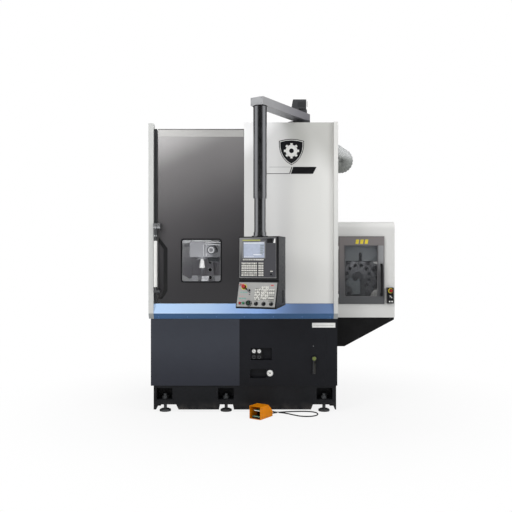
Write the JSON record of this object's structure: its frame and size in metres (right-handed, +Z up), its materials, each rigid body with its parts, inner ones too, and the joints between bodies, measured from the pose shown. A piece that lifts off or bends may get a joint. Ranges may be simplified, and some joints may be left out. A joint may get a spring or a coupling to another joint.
{
  "type": "vertical lathe",
  "caption": "Vertical turning lathe with sliding front door, jaw chuck, ram tool slide, side tool magazine, hanging control panel and foot switch.",
  "frame": {"origin": "middle of the footprint, on the floor", "axes": "+Z up, +X to the right as seen from the operator, +Y to the back of the machine"},
  "size_m": [2.813, 2.7247, 3.7052],
  "materials": {
    "belt_blue": "satin paint",
    "black_plastic": "matt",
    "black_rubber": "matt",
    "casting_grey": "painted",
    "dark_casting": "painted, satin",
    "door_grey": "fine brushed paint",
    "duct_grey": "ribbed",
    "face_grey": "satin print",
    "gauge_white": "gloss",
    "key_white": "matt",
    "lamp_white": "lit diffuser",
    "light_casting": "painted",
    "light_grey_paint": "satin paint",
    "machined_steel": "machined",
    "motor_grey": "satin",
    "navy_grey": "satin paint",
    "near_black": "satin paint",
    "panel_grey": "satin",
    "pedal_green": "matt",
    "red_plastic": "gloss",
    "safety_orange": "gloss paint",
    "screen_blue": "gloss",
    "stainless": "brushed",
    "white_grey_paint": "satin paint",
    "window_glass": "clear"
  },
  "bodies": {
    "machine": {"base_casting": "dark_casting", "base_front_beam": "dark_casting", "base_rear_beam": "dark_casting", "levelling_feet": "machined_steel", "bed": "casting_grey", "column": "light_casting", "headstock": "casting_grey", "spindle_bearings": "machined_steel", "drive_belt": "black_rubber", "spindle_motor": "motor_grey", "x_rails": "machined_steel", "enclosure_frame": "light_grey_paint", "chamber_walls": "stainless", "left_casing": "light_grey_paint", "right_casing": "light_grey_paint", "rear_panel": "light_grey_paint", "roof_panel": "light_grey_paint", "front_cover": "white_grey_paint", "belt_cover": "belt_blue", "lower_left_panel": "navy_grey", "lower_right_panel": "near_black", "front_gauges": "gauge_white", "work_lamp": "lamp_white", "atc_cabinet": "light_grey_paint", "atc_support": "near_black", "atc_magazine_drive": "motor_grey", "atc_button_box": "black_plastic", "mist_extractor": "motor_grey", "mist_duct": "duct_grey", "pedal_guard": "safety_orange", "pedal_base": "pedal_green", "pedal_cable": "black_rubber"},
    "door": {"door_panel": "door_grey", "door_carriages": "casting_grey", "door_window_frame": "black_rubber", "door_glass": "window_glass", "door_handle": "light_grey_paint"},
    "spindle": {"spindle": "machined_steel", "chuck_body": "machined_steel"},
    "jaw_1": {"jaw_1": "machined_steel"},
    "jaw_2": {"jaw_2": "machined_steel"},
    "jaw_3": {"jaw_3": "machined_steel"},
    "motor_pulley": {"motor_pulley": "machined_steel"},
    "cross_saddle": {"saddle": "light_casting"},
    "ram": {"ram": "light_casting", "tool_head": "machined_steel", "boring_tool": "machined_steel"},
    "arm": {"pendant_arm": "light_grey_paint"},
    "panel": {"lower_tube": "panel_grey", "panel_housing": "panel_grey", "panel_face": "face_grey", "panel_screen": "screen_blue", "panel_keys": "key_white", "panel_knobs": "black_plastic"},
    "stop_button": {"stop_button": "red_plastic"},
    "handwheel": {"handwheel": "black_plastic"},
    "magazine": {"atc_magazine": "machined_steel"},
    "atc_door": {"atc_door": "door_grey", "atc_door_glass": "window_glass"},
    "treadle": {"pedal_treadle": "pedal_green"}
  },
  "joints": [
    {"name": "door_slide", "type": "slide", "parent": "machine", "child": "door", "axis": [1, 0, 0], "range_m": [0, 0.9]},
    {"name": "spindle_spin", "type": "hinge", "parent": "machine", "child": "spindle", "pos_m": [-0.8295, 0.21, 1.3], "axis": [0, 0, 1], "continuous": true},
    {"name": "jaw_1_slide", "type": "slide", "parent": "spindle", "child": "jaw_1", "axis": [0, -1, 0], "range_m": [-0.005, 0.012]},
    {"name": "jaw_2_slide", "type": "slide", "parent": "spindle", "child": "jaw_2", "axis": [0.866, 0.5, 0], "range_m": [-0.005, 0.012]},
    {"name": "jaw_3_slide", "type": "slide", "parent": "spindle", "child": "jaw_3", "axis": [-0.866, 0.5, 0], "range_m": [-0.005, 0.012]},
    {"name": "motor_pulley_spin", "type": "hinge", "parent": "machine", "child": "motor_pulley", "pos_m": [-0.1295, 0.21, 0.38], "axis": [0, 0, 1], "continuous": true},
    {"name": "x_slide", "type": "slide", "parent": "machine", "child": "cross_saddle", "axis": [1, 0, 0], "range_m": [-0.06, 0.75]},
    {"name": "z_slide", "type": "slide", "parent": "cross_saddle", "child": "ram", "axis": [0, 0, 1], "range_m": [-0.02, 0.3]},
    {"name": "arm_swing", "type": "hinge", "parent": "machine", "child": "arm", "pos_m": [0.3035, -0.368, 3.28], "axis": [0, 0, 1], "range_deg": [-12, 75]},
    {"name": "panel_swivel", "type": "hinge", "parent": "arm", "child": "panel", "pos_m": [-0.1765, -1.09, 2.327], "axis": [0, 0, 1], "range_deg": [-40, 40]},
    {"name": "stop_button_push", "type": "slide", "parent": "panel", "child": "stop_button", "axis": [0.3241, 0.8904, -0.3196], "range_m": [0, 0.004], "stiffness_N_per_m": 900},
    {"name": "handwheel_spin", "type": "hinge", "parent": "panel", "child": "handwheel", "pos_m": [-0.29218, -1.25578, 1.25296], "axis": [-0.3241, -0.8904, 0.3196], "continuous": true},
    {"name": "magazine_spin", "type": "hinge", "parent": "machine", "child": "magazine", "pos_m": [1.0225, 0.14, 1.49], "axis": [0, -1, 0], "continuous": true},
    {"name": "atc_door_swing", "type": "hinge", "parent": "machine", "child": "atc_door", "pos_m": [0.7425, -0.203, 1.5], "axis": [0, 0, -1], "range_deg": [0, 85]},
    {"name": "treadle_press", "type": "hinge", "parent": "machine", "child": "treadle", "pos_m": [-0.14484, -0.78518, 0.062], "axis": [0.8192, -0.5736, 0], "range_deg": [0, 10], "stiffness_Nm_per_rad": 12, "springref_deg": -8.59}
  ],
  "couplings": [
    {"joint": "jaw_2_slide", "follows": "jaw_1_slide", "ratio": 1},
    {"joint": "jaw_3_slide", "follows": "jaw_1_slide", "ratio": 1},
    {"joint": "motor_pulley_spin", "follows": "spindle_spin", "ratio": 1.7778}
  ]
}
